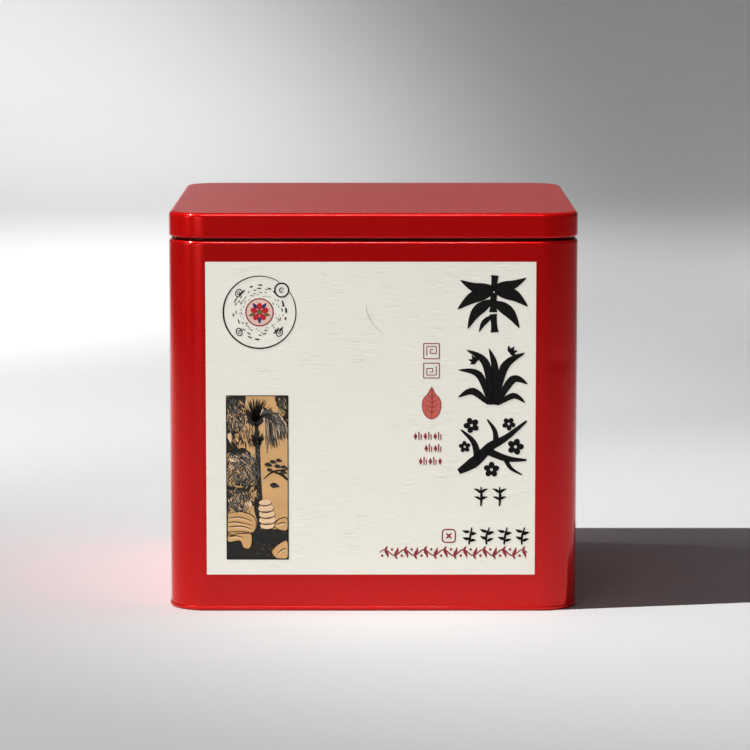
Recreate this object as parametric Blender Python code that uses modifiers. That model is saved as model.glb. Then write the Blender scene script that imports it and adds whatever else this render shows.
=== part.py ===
"""Square tea tin: a necked tinplate body, a seamed base, a slip-on lid and a paper front label.

Metres, +Z up. The origin is the middle of the foot, and the labelled front faces -Y.
The sheet-metal pieces share one rounded-square plan. Each is one sheet, drawn as the visible side of its
section in stations of (inset, height), where inset is the distance inwards from the tin's nominal side.
"""

from math import cos, radians, sin

import bmesh
import bpy
from mathutils import Matrix, Vector

# Overall sizes
WIDTH = 0.110
HEIGHT = 0.1075
CORNER_RADIUS = 0.010
CORNER_STEPS = 6
SHEET = 0.00028
CLEARANCE = 0.0003
SHARP_ANGLE = radians(35)

# Foot: the base's rim wraps round the lower end of the wall
RIM_PROUD = 0.0003
RIM_HEIGHT = 0.0012
RIM_TURN_RADIUS = 0.0005
PANEL_RECESS = 0.0020
PANEL_TURN_RADIUS = 0.0006
JOGGLE = 0.0003
JOGGLE_TOP = 0.0031
JOGGLE_BOTTOM = 0.0021

# Shoulder and neck of the wall, under the lid
SHOULDER_HEIGHT = 0.1001
SHOULDER_RADIUS = 0.0010
NECK_INSET = 0.0016
MOUTH_CURL_RADIUS = 0.0006

# Lock seam: a shallow groove down the middle of the back
SEAM_HALF_WIDTH = 0.0017
SEAM_SLOPE = 0.0006
SEAM_DEPTH = 0.0003
SEAM_MARGIN = 0.0040

# Lid
LID_SKIRT_BOTTOM = 0.1007
LID_EDGE_RADIUS = 0.0012
LID_HEM_RADIUS = 0.00065

# Label
LABEL_WIDTH = 0.0883
LABEL_HEIGHT = 0.0846
LABEL_BOTTOM = 0.0099
LABEL_SHIFT_X = -0.0007
LABEL_THICKNESS = 0.00018
GLUE_GAP = 0.00015

FINISHES = {
    "red_enamel": ((0.42, 0.012, 0.010, 1.0), 0.20, 0.10),
    "base_enamel": ((0.40, 0.014, 0.012, 1.0), 0.26, 0.10),
    "lid_enamel": ((0.44, 0.014, 0.012, 1.0), 0.20, 0.10),
    "label_paper": ((0.78, 0.76, 0.66, 1.0), 0.85, 0.0),
}


def clear_scene():
    for item in list(bpy.data.objects):
        bpy.data.objects.remove(item, do_unlink=True)


def finish_material(name):
    """Principled material with the colour, roughness and metallic value of one finish."""
    colour, roughness, metallic = FINISHES[name]
    material = bpy.data.materials.new(name)
    material.use_nodes = True
    shader = material.node_tree.nodes["Principled BSDF"]
    shader.inputs["Base Color"].default_value = colour
    shader.inputs["Roughness"].default_value = roughness
    shader.inputs["Metallic"].default_value = metallic
    return material


def arc(inset, height, radius, start, end, steps):
    """Stations along an arc of the section, in degrees: 0 faces outwards, 90 up, 180 inwards."""
    angles = [radians(start + (end - start) * step / steps) for step in range(steps + 1)]
    return [(inset - radius * cos(angle), height + radius * sin(angle)) for angle in angles]


def outward(point):
    """Direction away from the tin's axis at a point of the plan, square to the side or corner there."""
    core = WIDTH / 2 - CORNER_RADIUS
    nearest = Vector((max(-core, min(core, point.x)), max(-core, min(core, point.y)), 0))
    return (Vector((point.x, point.y, 0)) - nearest).normalized()


def first_ring(mesh, inset, height):
    """Rounded-square face at the first station."""
    corners = bmesh.ops.create_grid(
        mesh, x_segments=1, y_segments=1, size=WIDTH / 2 - inset, matrix=Matrix.Translation((0, 0, height))
    )["verts"]
    bmesh.ops.bevel(
        mesh, geom=corners, affect="VERTICES", offset=CORNER_RADIUS - inset, segments=CORNER_STEPS, profile=0.5
    )
    return mesh.faces[:][0]


def extrude_stations(mesh, ring_edges, stations):
    """Extrudes the ring's edges from station to station."""
    for (inset, height), (next_inset, next_height) in zip(stations, stations[1:]):
        extruded = bmesh.ops.extrude_edge_only(mesh, edges=ring_edges)["geom"]
        ring_edges = [item for item in extruded if isinstance(item, bmesh.types.BMEdge)]
        # Of the new edges only those of the new ring run level.
        ring_verts = {item for item in extruded if isinstance(item, bmesh.types.BMVert)}
        ring_edges = [edge for edge in ring_edges if set(edge.verts) <= ring_verts]
        for vert in ring_verts:
            step = outward(vert.co) * (inset - next_inset)
            vert.co += step + Vector((0, 0, next_height - height))


def add_seam_points(mesh):
    """Cuts the ring's back side at the edges of the lock seam."""
    for place in (-SEAM_HALF_WIDTH - SEAM_SLOPE, -SEAM_HALF_WIDTH, SEAM_HALF_WIDTH, SEAM_HALF_WIDTH + SEAM_SLOPE):
        back = [edge for edge in mesh.edges if all(vert.co.y > WIDTH / 2 - CORNER_RADIUS for vert in edge.verts)]
        bmesh.ops.bisect_plane(mesh, geom=back + list({v for e in back for v in e.verts}),
                               plane_co=(place, 0, 0), plane_no=(1, 0, 0))


def press_seam(mesh):
    """Presses the groove of the lock seam into the back of the wall, between the foot and the shoulder."""
    top = SHOULDER_HEIGHT - SHOULDER_RADIUS - SEAM_MARGIN / 2
    groove = [
        vert for vert in mesh.verts
        if vert.co.y > 0 and abs(vert.co.x) < SEAM_HALF_WIDTH + SEAM_SLOPE / 2
        and JOGGLE_TOP + SEAM_MARGIN / 2 < vert.co.z < top
    ]
    bmesh.ops.translate(mesh, verts=groove, vec=(0, -SEAM_DEPTH, 0))


def sheet_piece(name, stations, has_panel, has_seam=False, lift=0.0):
    """One sheet of tinplate: its visible side through the stations, thickened away from that side."""
    mesh = bmesh.new()
    panel = first_ring(mesh, *stations[0])
    if not has_panel:
        bmesh.ops.delete(mesh, geom=[panel], context="FACES_ONLY")
    if has_seam:
        add_seam_points(mesh)
    extrude_stations(mesh, mesh.edges[:], stations)
    if has_seam:
        press_seam(mesh)
    bmesh.ops.recalc_face_normals(mesh, faces=mesh.faces[:])
    bmesh.ops.translate(mesh, verts=mesh.verts[:], vec=(0, 0, -lift))
    data = bpy.data.meshes.new(name)
    mesh.to_mesh(data)
    mesh.free()
    piece = bpy.data.objects.new(name, data)
    piece.location.z = lift
    thickness = piece.modifiers.new("sheet", "SOLIDIFY")
    thickness.thickness = SHEET
    thickness.offset = -1
    thickness.use_even_offset = True
    thickness.use_quality_normals = True
    data.shade_smooth()
    data.set_sharp_from_angle(angle=SHARP_ANGLE)
    return piece


def make_body_wall():
    """Wrapped wall: joggled foot, straight side with a lock seam, rounded shoulder, neck and curled mouth."""
    side_top = SHOULDER_HEIGHT - SHOULDER_RADIUS
    neck_top = HEIGHT - SHEET - CLEARANCE - MOUTH_CURL_RADIUS
    seam_ends = (JOGGLE_TOP + SEAM_MARGIN, side_top - SEAM_MARGIN)
    stations = [(JOGGLE, SHEET + CLEARANCE), (JOGGLE, JOGGLE_BOTTOM), (0.0, JOGGLE_TOP)]
    stations += [(0.0, height) for height in seam_ends]
    stations += arc(SHOULDER_RADIUS, side_top, SHOULDER_RADIUS, 0, 90, 4)
    stations += [(NECK_INSET, SHOULDER_HEIGHT)]
    stations += arc(NECK_INSET + MOUTH_CURL_RADIUS, neck_top, MOUTH_CURL_RADIUS, 0, 210, 7)
    return sheet_piece("body_wall", stations, has_panel=False, has_seam=True)


def make_base_panel():
    """Recessed base: the panel, its countersunk side and the rim that wraps under and outside the wall."""
    inner_leg = JOGGLE + SHEET + CLEARANCE + SHEET
    stations = arc(inner_leg + PANEL_TURN_RADIUS, PANEL_RECESS - PANEL_TURN_RADIUS, PANEL_TURN_RADIUS, 90, 0, 3)
    stations += arc(inner_leg - RIM_TURN_RADIUS, RIM_TURN_RADIUS, RIM_TURN_RADIUS, 180, 270, 3)
    stations += arc(RIM_TURN_RADIUS - RIM_PROUD, RIM_TURN_RADIUS, RIM_TURN_RADIUS, 270, 360, 3)
    stations += [(-RIM_PROUD, RIM_HEIGHT)]
    return sheet_piece("base_panel", stations, has_panel=True)


def make_lid():
    """Drawn lid: flat top, rounded edge, straight skirt and a hem rolled inwards. Its origin is the seat."""
    stations = arc(LID_EDGE_RADIUS, HEIGHT - LID_EDGE_RADIUS, LID_EDGE_RADIUS, 90, 0, 4)
    stations += arc(LID_HEM_RADIUS, LID_SKIRT_BOTTOM + LID_HEM_RADIUS, LID_HEM_RADIUS, 0, -210, 7)
    return sheet_piece("lid", stations, has_panel=True, lift=LID_SKIRT_BOTTOM)


def make_front_label():
    """Paper label laid on the front wall, a little left of the middle."""
    mesh = bmesh.new()
    bmesh.ops.create_cube(mesh, size=1.0)
    bmesh.ops.scale(mesh, verts=mesh.verts[:], vec=(LABEL_WIDTH, LABEL_THICKNESS, LABEL_HEIGHT))
    data = bpy.data.meshes.new("front_label")
    mesh.to_mesh(data)
    mesh.free()
    piece = bpy.data.objects.new("front_label", data)
    piece.location = (
        LABEL_SHIFT_X,
        -WIDTH / 2 - GLUE_GAP - LABEL_THICKNESS / 2,
        LABEL_BOTTOM + LABEL_HEIGHT / 2,
    )
    return piece


def main():
    clear_scene()
    collection = bpy.data.collections.new("square_tea_tin")
    bpy.context.scene.collection.children.link(collection)
    frame = bpy.data.objects.new("square_tea_tin_frame", None)
    collection.objects.link(frame)
    pieces = (
        (make_body_wall(), "red_enamel"),
        (make_base_panel(), "base_enamel"),
        (make_lid(), "lid_enamel"),
        (make_front_label(), "label_paper"),
    )
    for piece, finish in pieces:
        piece.data.materials.append(finish_material(finish))
        piece.parent = frame
        collection.objects.link(piece)


main()
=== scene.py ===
"""Square tea tin: its finished look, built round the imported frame.

The tin stands on its foot with the labelled front facing -Y. Sizes in metres unless a name says otherwise.
Each sheet-metal piece is one sheet drawn through stations of (inset, height) on a rounded-square plan, where
inset is the distance inwards from the tin's side. The label's print is thin film laid on the paper.
"""

import logging
import random
from dataclasses import dataclass, field
from enum import Enum
from functools import cached_property
from math import ceil, cos, floor, hypot, pi, radians, sin
from typing import Iterable, Sequence

import bmesh
import bpy
from mathutils import Matrix, Vector, noise


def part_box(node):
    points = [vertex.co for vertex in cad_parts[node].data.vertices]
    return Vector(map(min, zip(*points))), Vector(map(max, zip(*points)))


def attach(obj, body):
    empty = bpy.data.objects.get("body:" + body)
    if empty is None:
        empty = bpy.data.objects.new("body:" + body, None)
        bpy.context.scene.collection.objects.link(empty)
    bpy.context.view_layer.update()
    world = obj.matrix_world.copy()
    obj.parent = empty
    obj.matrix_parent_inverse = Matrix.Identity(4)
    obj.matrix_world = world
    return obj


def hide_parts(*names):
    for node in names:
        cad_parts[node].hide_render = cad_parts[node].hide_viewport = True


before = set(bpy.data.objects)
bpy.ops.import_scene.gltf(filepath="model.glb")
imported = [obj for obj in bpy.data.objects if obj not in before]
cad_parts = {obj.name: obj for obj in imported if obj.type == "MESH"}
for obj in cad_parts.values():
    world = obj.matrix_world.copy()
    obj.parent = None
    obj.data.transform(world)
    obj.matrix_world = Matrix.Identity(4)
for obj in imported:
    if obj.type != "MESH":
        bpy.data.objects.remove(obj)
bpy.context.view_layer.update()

LOG = logging.getLogger("square_tea_tin")
Station = tuple[float, float]
Point = tuple[float, float]
Colour = tuple[float, float, float]

MM = 0.001
SHARP_ANGLE = radians(38)


def smooth_step(value: float, low: float, high: float) -> float:
    """Ease from 0 at low to 1 at high.

    Args:
        value: where to read the curve.
        low: value at which it leaves 0.
        high: value at which it reaches 1.

    Returns:
        The eased share, from 0 to 1.
    """
    share = max(0.0, min(1.0, (value - low) / (high - low)))
    return share * share * (3 - 2 * share)


# --------------------------------------------------------------------------- node graphs


class Graph:
    """Adds nodes to one node tree and links them."""

    def __init__(self, tree: bpy.types.NodeTree) -> None:
        """Keep the tree that the nodes go in."""
        self.tree = tree

    @cached_property
    def place(self) -> bpy.types.NodeSocket:
        """Object coordinates, which every pattern is read from."""
        return self.add("TexCoord").outputs["Object"]

    def feed(self, target: bpy.types.NodeSocket, value: object) -> None:
        """Link a socket to an input, or set the input.

        Args:
            target: the input.
            value: a socket, a number, a vector or a colour.
        """
        if isinstance(value, bpy.types.NodeSocket):
            self.tree.links.new(value, target)
        else:
            target.default_value = (*value, 1.0) if target.type == "RGBA" else value

    def add(self, kind: str, **values: object) -> bpy.types.Node:
        """Add one node.

        Args:
            kind: the node's type, without the ShaderNode prefix.
            **values: node properties, and what feeds its inputs, with spaces written as underscores.

        Returns:
            The new node.
        """
        node = self.tree.nodes.new("ShaderNode" + kind)
        for name, value in values.items():
            socket = node.inputs.get(name.replace("_", " "))
            if socket is None:
                setattr(node, name, value)
            else:
                self.feed(socket, value)
        return node

    def effect(self, name: str, **values: object) -> bpy.types.bpy_prop_collection:
        """Place one of the shared node groups.

        Args:
            name: the group's name.
            **values: what feeds its inputs.

        Returns:
            The group's outputs.
        """
        return self.add("Group", node_tree=bpy.data.node_groups[name], **values).outputs

    def ramp(self, source: bpy.types.NodeSocket, low: float, high: float) -> bpy.types.NodeSocket:
        """Stretch a value so that low gives 0 and high gives 1, clamped."""
        values = {"From_Min": low, "From_Max": high, "interpolation_type": "SMOOTHSTEP"}
        return self.add("MapRange", Value=source, **values).outputs["Result"]

    def math(self, operation: str, first: object, second: object) -> bpy.types.NodeSocket:
        """Combine two values.

        Args:
            operation: the Math node's operation.
            first: a socket or a number.
            second: a socket or a number.

        Returns:
            The result's socket.
        """
        node = self.add("Math", operation=operation)
        self.feed(node.inputs[0], first)
        self.feed(node.inputs[1], second)
        return node.outputs[0]

    def blend(self, factor: object, first: object, second: object) -> bpy.types.NodeSocket:
        """Mix two colours.

        Args:
            factor: share of the second colour, a socket or a number.
            first: a socket or a colour.
            second: a socket or a colour.

        Returns:
            The mixed colour's socket.
        """
        node = self.add("Mix", data_type="RGBA")
        for index, value in ((0, factor), (6, first), (7, second)):
            self.feed(node.inputs[index], value)
        return node.outputs[2]


class EffectLibrary:
    """Node groups that more than one finish uses, each built once."""

    def __init__(self) -> None:
        """Build all the groups."""
        self.colour_drift()
        self.dust_mask()
        self.surface_ripple()
        self.edge_rub()
        self.groove_shade()

    @staticmethod
    def start(name: str, inputs: dict[str, object], outputs: dict[str, str]) -> tuple[Graph, object, object]:
        """Start a node group with its sockets.

        Args:
            name: the group's name.
            inputs: the default of each input, a number, a vector or a colour.
            outputs: the kind of each output.

        Returns:
            The group's graph, what it is given and what it has to feed.
        """
        tree = bpy.data.node_groups.new(name, "ShaderNodeTree")
        for label, default in inputs.items():
            kind = "Float" if isinstance(default, float) else {3: "Vector", 4: "Color"}[len(default)]
            socket = tree.interface.new_socket(label, in_out="INPUT", socket_type="NodeSocket" + kind)
            socket.default_value = default
        for label, kind in outputs.items():
            tree.interface.new_socket(label, in_out="OUTPUT", socket_type="NodeSocket" + kind)
        given, result = tree.nodes.new("NodeGroupInput"), tree.nodes.new("NodeGroupOutput")
        return Graph(tree), given.outputs, result.inputs

    def colour_drift(self) -> None:
        """Cloudy variation of a colour's brightness."""
        inputs = {"Colour": (0.5, 0.5, 0.5, 1.0), "Amount": 0.1, "Scale": 60.0}
        graph, given, result = self.start("colour_drift", inputs, {"Colour": "Color"})
        cloud = graph.add("TexNoise", Vector=graph.place, Scale=given["Scale"], Detail=4.0)
        shade = graph.math("MULTIPLY", graph.math("SUBTRACT", cloud.outputs["Fac"], 0.5), given["Amount"])
        shaded = graph.add("HueSaturation", Color=given["Colour"], Value=graph.math("ADD", shade, 1.0))
        graph.feed(result["Colour"], shaded.outputs["Color"])

    def dust_mask(self) -> None:
        """Sparse round specks."""
        inputs = {"Scale": 300.0, "Size": 0.1, "Share": 0.08}
        graph, given, result = self.start("dust_mask", inputs, {"Mask": "Float"})
        cells = graph.add("TexVoronoi", Vector=graph.place, Scale=given["Scale"]).outputs
        near = graph.math("LESS_THAN", cells["Distance"], given["Size"])
        parts = graph.add("SeparateColor", Color=cells["Color"])
        chosen = graph.math("LESS_THAN", parts.outputs["Red"], given["Share"])
        graph.feed(result["Mask"], graph.math("MULTIPLY", near, chosen))

    def surface_ripple(self) -> None:
        """Fine unevenness of a surface, stretched along any axis by the Grain input."""
        inputs = {"Grain": (1.0, 1.0, 1.0), "Scale": 800.0, "Detail": 2.0, "Depth": 0.000002}
        graph, given, result = self.start("surface_ripple", inputs, {"Normal": "Vector", "Height": "Float"})
        mapped = graph.add("Mapping", Vector=graph.place, Scale=given["Grain"]).outputs[0]
        peel = graph.add("TexNoise", Vector=mapped, Scale=given["Scale"], Detail=given["Detail"]).outputs["Fac"]
        bump = graph.add("Bump", Height=peel, Distance=given["Depth"], Strength=1.0)
        graph.feed(result["Normal"], bump.outputs["Normal"])
        graph.feed(result["Height"], peel)

    @staticmethod
    def away(graph: Graph, height: bpy.types.NodeSocket) -> bpy.types.NodeSocket:
        """Give the distance from a height, up or down."""
        level = graph.add("SeparateXYZ", Vector=graph.place).outputs["Z"]
        return graph.math("ABSOLUTE", graph.math("SUBTRACT", level, height), 0.0)

    def edge_rub(self) -> None:
        """Broken line of wear at one height, such as a rim that slides on shelves."""
        inputs = {"Height": 0.0, "Band": 0.0004, "Share": 0.3}
        graph, given, result = self.start("edge_rub", inputs, {"Mask": "Float"})
        close = graph.math("LESS_THAN", self.away(graph, given["Height"]), given["Band"])
        scuffs = graph.add("TexNoise", Vector=graph.place, Scale=900.0, Detail=5.0, Roughness=0.7)
        patches = graph.add("TexNoise", Vector=graph.place, Scale=70.0, Detail=2.0)
        mixed = graph.math("MULTIPLY", scuffs.outputs["Fac"], patches.outputs["Fac"])
        worn = graph.math("LESS_THAN", mixed, graph.math("MULTIPLY", given["Share"], 0.5))
        graph.feed(result["Mask"], graph.math("MULTIPLY", close, worn))

    def groove_shade(self) -> None:
        """Soft-edged level band of painted shade, darkening the groove under a lid where shade falls."""
        graph, given, result = self.start("groove_shade", {"Height": 0.0, "Band": 0.0004}, {"Mask": "Float"})
        reach = graph.math("DIVIDE", self.away(graph, given["Height"]), given["Band"])
        graph.feed(result["Mask"], graph.ramp(reach, 1.25, 0.75))


# --------------------------------------------------------------------------- finishes


@dataclass(frozen=True)
class Finish:
    """What all finishes share: dress() tells what feeds the shader, and material() wires it up."""

    name: str

    def dress(self, graph: Graph) -> dict[str, object]:
        """Tell what feeds the shader's inputs.

        Args:
            graph: the material's graph.

        Returns:
            A socket or a value for each input's name.
        """
        raise NotImplementedError

    def material(self) -> bpy.types.Material:
        """Build the material.

        Returns:
            The material.
        """
        material = bpy.data.materials.new(self.name)
        material.use_nodes = True
        graph = Graph(material.node_tree)
        shader = material.node_tree.nodes["Principled BSDF"]
        for name, value in self.dress(graph).items():
            graph.feed(shader.inputs[name], value)
        return material


@dataclass(frozen=True)
class RedLacquer(Finish):
    """Translucent red lacquer stoved over bright tinplate, so that its reflections are red too."""

    colour: Colour = (0.61, 0.0034, 0.0030)
    metallic: float = 0.44
    roughness: float = 0.20
    coat: float = 0.40
    rub_height: float = 0.0
    rub_share: float = 0.22
    # A level band of painted shade, at the next two fields' height and width; -1 keeps it off the piece.
    groove_shade_height: float = -1.0
    groove_shade_band: float = 0.0004

    def dress(self, graph: Graph) -> dict[str, object]:
        """Tell what feeds the shader: a cloudy red with wear and dust over it, and painted shade along one level
        band.

        Args:
            graph: the material's graph.

        Returns:
            A socket or a value for each input's name.
        """
        colour = graph.effect("colour_drift", Colour=self.colour, Amount=0.05, Scale=18.0)["Colour"]
        dust = graph.effect("dust_mask", Scale=210.0, Size=0.05, Share=0.018)["Mask"]
        rub = graph.effect("edge_rub", Height=self.rub_height, Band=0.00045, Share=self.rub_share)["Mask"]
        painted_shade = graph.effect("groove_shade", Height=self.groove_shade_height, Band=self.groove_shade_band)["Mask"]
        colour = graph.blend(rub, colour, (0.62, 0.45, 0.42))
        colour = graph.blend(graph.math("MULTIPLY", dust, 0.55), colour, (0.80, 0.70, 0.66))
        # Painted shade: the band is darkened nearly to black, standing in for the shade in the groove.
        colour = graph.blend(graph.math("MULTIPLY", painted_shade, 0.92), colour, (0.012, 0.002, 0.002))
        smudge = graph.add("TexNoise", Vector=graph.place, Scale=16.0, Detail=1.0, Roughness=0.4)
        rough = graph.math("ADD", graph.math("MULTIPLY", smudge.outputs["Fac"], 0.03), self.roughness)
        # Dust and the band of painted shade are also made rougher.
        for mask in (dust, painted_shade):
            rough = graph.math("ADD", rough, graph.math("MULTIPLY", mask, 0.5))
        peel = graph.effect("surface_ripple", Scale=520.0, Detail=1.0, Depth=0.0000016)
        return {
            "Base Color": colour, "Roughness": rough, "Normal": peel["Normal"], "Metallic": self.metallic,
            "Specular Tint": (1.0, 0.40, 0.36), "Specular IOR Level": 0.25, "Coat Weight": self.coat,
            "Coat Roughness": 0.06,
        }


@dataclass(frozen=True)
class BareTinplate(Finish):
    """Unpainted inside of the sheet: bright tin with the long streaks of rolling."""

    colour: Colour = (0.66, 0.65, 0.62)

    def dress(self, graph: Graph) -> dict[str, object]:
        """Tell what feeds the shader: streaks in tone, gloss and relief.

        Args:
            graph: the material's graph.

        Returns:
            A socket or a value for each input's name.
        """
        streak = graph.effect(
            "surface_ripple", Grain=(1.0, 1.0, 0.06), Scale=1400.0, Detail=3.0, Depth=0.000002
        )
        drift = graph.effect("colour_drift", Colour=self.colour, Amount=0.25, Scale=55.0)
        tone = graph.math("ADD", graph.math("MULTIPLY", streak["Height"], 0.18), 0.90)
        tinted = graph.add("HueSaturation", Color=drift["Colour"], Value=tone)
        rough = graph.math("ADD", graph.math("MULTIPLY", streak["Height"], 0.16), 0.24)
        return {
            "Base Color": tinted.outputs["Color"], "Roughness": rough, "Normal": streak["Normal"],
            "Metallic": 1.0,
        }


@dataclass(frozen=True)
class BrushedPaper(Finish):
    """Matt cream paper with short raised fibres that run across the label."""

    colour: Colour = (0.800, 0.775, 0.690)

    def dress(self, graph: Graph) -> dict[str, object]:
        """Tell what feeds the shader: light fibres, painted shade in the hollows between them and a fine tooth.

        Args:
            graph: the material's graph.

        Returns:
            A socket or a value for each input's name.
        """
        colour = graph.effect("colour_drift", Colour=self.colour, Amount=0.06, Scale=35.0)["Colour"]
        long_way = graph.add("Mapping", Vector=graph.place, Scale=(0.16, 1.0, 1.0)).outputs[0]
        strands = graph.add("TexNoise", Vector=long_way, Scale=1700.0, Detail=1.5, Roughness=0.5).outputs["Fac"]
        where = graph.add("TexNoise", Vector=graph.place, Scale=130.0, Detail=2.0).outputs["Fac"]
        ridge = graph.math("MULTIPLY", graph.ramp(strands, 0.56, 0.74), graph.ramp(where, 0.42, 0.62))
        hollow_shade = graph.math("MULTIPLY", graph.ramp(strands, 0.44, 0.28), graph.ramp(where, 0.45, 0.65))
        colour = graph.blend(graph.math("MULTIPLY", ridge, 0.40), colour, (0.87, 0.85, 0.78))
        # Painted shade: the paper is darkened in the hollows between the fibres.
        colour = graph.blend(graph.math("MULTIPLY", hollow_shade, 0.30), colour, (0.60, 0.58, 0.50))
        tooth = graph.add("TexNoise", Vector=graph.place, Scale=5200.0, Detail=3.0).outputs["Fac"]
        tooth = graph.math("MULTIPLY", tooth, 0.35)
        relief = graph.math("ADD", graph.math("SUBTRACT", ridge, hollow_shade), tooth)
        bump = graph.add("Bump", Height=relief, Strength=1.0, Distance=0.00003)
        return {
            "Base Color": colour, "Normal": bump.outputs["Normal"], "Roughness": 0.82,
            "Specular IOR Level": 0.35,
        }


@dataclass(frozen=True)
class PrintInk(Finish):
    """Matt printing ink, a little starved where the paper's fibres stand up."""

    colour: Colour
    thin_colour: Colour
    starved: float = 0.45
    roughness: float = 0.60

    def dress(self, graph: Graph) -> dict[str, object]:
        """Tell what feeds the shader: the ink, thin on the fibres.

        Args:
            graph: the material's graph.

        Returns:
            A socket or a value for each input's name.
        """
        colour = graph.effect("colour_drift", Colour=self.colour, Amount=0.30, Scale=160.0)["Colour"]
        fibre = graph.effect(
            "surface_ripple", Grain=(0.3, 1.0, 1.0), Scale=2600.0, Detail=3.0, Depth=0.000012
        )
        starved = graph.math("MULTIPLY", graph.ramp(fibre["Height"], 0.60, 0.78), self.starved)
        rough = graph.math("ADD", graph.math("MULTIPLY", fibre["Height"], 0.2), self.roughness)
        return {
            "Base Color": graph.blend(starved, colour, self.thin_colour), "Roughness": rough,
            "Normal": fibre["Normal"], "Specular IOR Level": 0.12,
        }


@dataclass(frozen=True)
class PaleFloor(Finish):
    """Matt pale paint of the floor and backdrop, very slightly cloudy."""

    def dress(self, graph: Graph) -> dict[str, object]:
        """Tell what feeds the shader: two close greys.

        Args:
            graph: the material's graph.

        Returns:
            A socket or a value for each input's name.
        """
        cloud = graph.add("TexNoise", Vector=graph.place, Scale=1.2, Detail=2.0).outputs["Fac"]
        tone = graph.blend(cloud, (0.83, 0.83, 0.83), (0.87, 0.87, 0.87))
        return {"Base Color": tone, "Roughness": 0.7, "Specular IOR Level": 0.2}


# --------------------------------------------------------------------------- sheet metal


@dataclass(frozen=True)
class TinPlan:
    """Sizes that all the pieces share."""

    half: float
    top: float
    lid_foot: float
    rim_half: float
    label_low: Vector
    label_high: Vector
    corner: float = 10.0 * MM
    sheet: float = 0.25 * MM
    touch: float = 0.02 * MM

    @classmethod
    def from_frame(cls) -> "TinPlan":
        """Read the shared sizes from the frame.

        Returns:
            The plan.
        """
        lid_low, lid_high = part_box("lid")
        _, base_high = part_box("base_panel")
        label_low, label_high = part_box("front_label")
        return cls(lid_high.x, lid_high.z, lid_low.z, base_high.x, label_low, label_high)

    @property
    def core(self) -> float:
        """Half length of a side's straight part."""
        return self.half - self.corner

    def outward(self, point: Vector) -> Vector:
        """Give the direction square to the side or corner at a point of the plan.

        Args:
            point: any point on a sheet.

        Returns:
            A level unit vector that points away from the tin's axis.
        """
        core = self.core
        nearest = Vector((max(-core, min(core, point.x)), max(-core, min(core, point.y)), 0))
        return (Vector((point.x, point.y, 0)) - nearest).normalized()


def arc(inset: float, height: float, radius: float, start: float, end: float, steps: int) -> list[Station]:
    """Give stations along an arc of a sheet's section.

    Args:
        inset: the centre's inset.
        height: the centre's height.
        radius: the arc's radius.
        start: first angle in degrees: 0 faces outwards, 90 up, 180 inwards.
        end: last angle in degrees.
        steps: number of steps between them.

    Returns:
        The stations, both ends included.
    """
    angles = [radians(start + (end - start) * step / steps) for step in range(steps + 1)]
    return [(inset - radius * cos(angle), height + radius * sin(angle)) for angle in angles]


def straight(start: Station, end: Station, steps: int) -> list[Station]:
    """Give evenly spaced stations from a station to another, without the first."""
    shares = [step / steps for step in range(1, steps + 1)]
    return [(start[0] + (end[0] - start[0]) * s, start[1] + (end[1] - start[1]) * s) for s in shares]


@dataclass
class SheetPress:
    """Presses one sheet of tinplate through its stations."""

    plan: TinPlan
    inside: bpy.types.Material
    corner_steps: int = 14
    cut_step: float = 7.5 * MM

    def press(self, stations: Sequence[Station], has_panel: bool) -> bmesh.types.BMesh:
        """Draw the visible side of a sheet.

        Args:
            stations: the section, starting at the panel or at the wall's foot.
            has_panel: whether the first ring is closed by a flat panel.

        Returns:
            The open surface, with its sides cut into cells so that they can bend.
        """
        mesh = bmesh.new()
        inset, height = stations[0]
        size, place = self.plan.half - inset, Matrix.Translation((0, 0, height))
        corners = bmesh.ops.create_grid(mesh, x_segments=1, y_segments=1, size=size, matrix=place)["verts"]
        bmesh.ops.bevel(
            mesh, geom=corners, affect="VERTICES", offset=self.plan.corner - inset,
            segments=self.corner_steps, profile=0.5, material=-1,
        )
        if not has_panel:
            bmesh.ops.delete(mesh, geom=mesh.faces[:], context="FACES_ONLY")
        self.extrude(mesh, mesh.edges[:], stations)
        count = int(self.plan.core / self.cut_step)
        for index in range(-count, count + 1):
            for direction in (Vector((1, 0, 0)), Vector((0, 1, 0))):
                cut(mesh, mesh.verts[:] + mesh.edges[:] + mesh.faces[:], direction, index * self.cut_step)
        bmesh.ops.recalc_face_normals(mesh, faces=mesh.faces[:])
        return mesh

    def extrude(
        self, mesh: bmesh.types.BMesh, ring: list[bmesh.types.BMEdge], stations: Sequence[Station]
    ) -> None:
        """Extrude a ring of edges from station to station.

        Args:
            mesh: the mesh that holds the ring.
            ring: edges of the first station.
            stations: the section.
        """
        for (inset, height), (next_inset, next_height) in zip(stations, stations[1:]):
            made = bmesh.ops.extrude_edge_only(mesh, edges=ring)["geom"]
            verts = {item for item in made if isinstance(item, bmesh.types.BMVert)}
            ring = [item for item in made if isinstance(item, bmesh.types.BMEdge) and set(item.verts) <= verts]
            for vert in verts:
                vert.co += self.plan.outward(vert.co) * (inset - next_inset)
                vert.co.z += next_height - height

    def finish(self, name: str, mesh: bmesh.types.BMesh, outside: bpy.types.Material) -> bpy.types.Object:
        """Turn the visible side into a sheet with thickness.

        Args:
            name: the piece's name.
            mesh: the visible side, which is freed.
            outside: material of the visible side.

        Returns:
            The piece.
        """
        piece = object_from(mesh, name, outside)
        piece.data.shade_smooth()
        piece.data.set_sharp_from_angle(angle=SHARP_ANGLE)
        piece.data.materials.append(self.inside)
        sheet = thicken(piece, self.plan.sheet)
        sheet.use_even_offset = True
        sheet.use_quality_normals = True
        sheet.material_offset = 1
        sheet.material_offset_rim = 1
        piece.modifiers.new("flat_sides", "WEIGHTED_NORMAL").keep_sharp = True
        return piece


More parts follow.
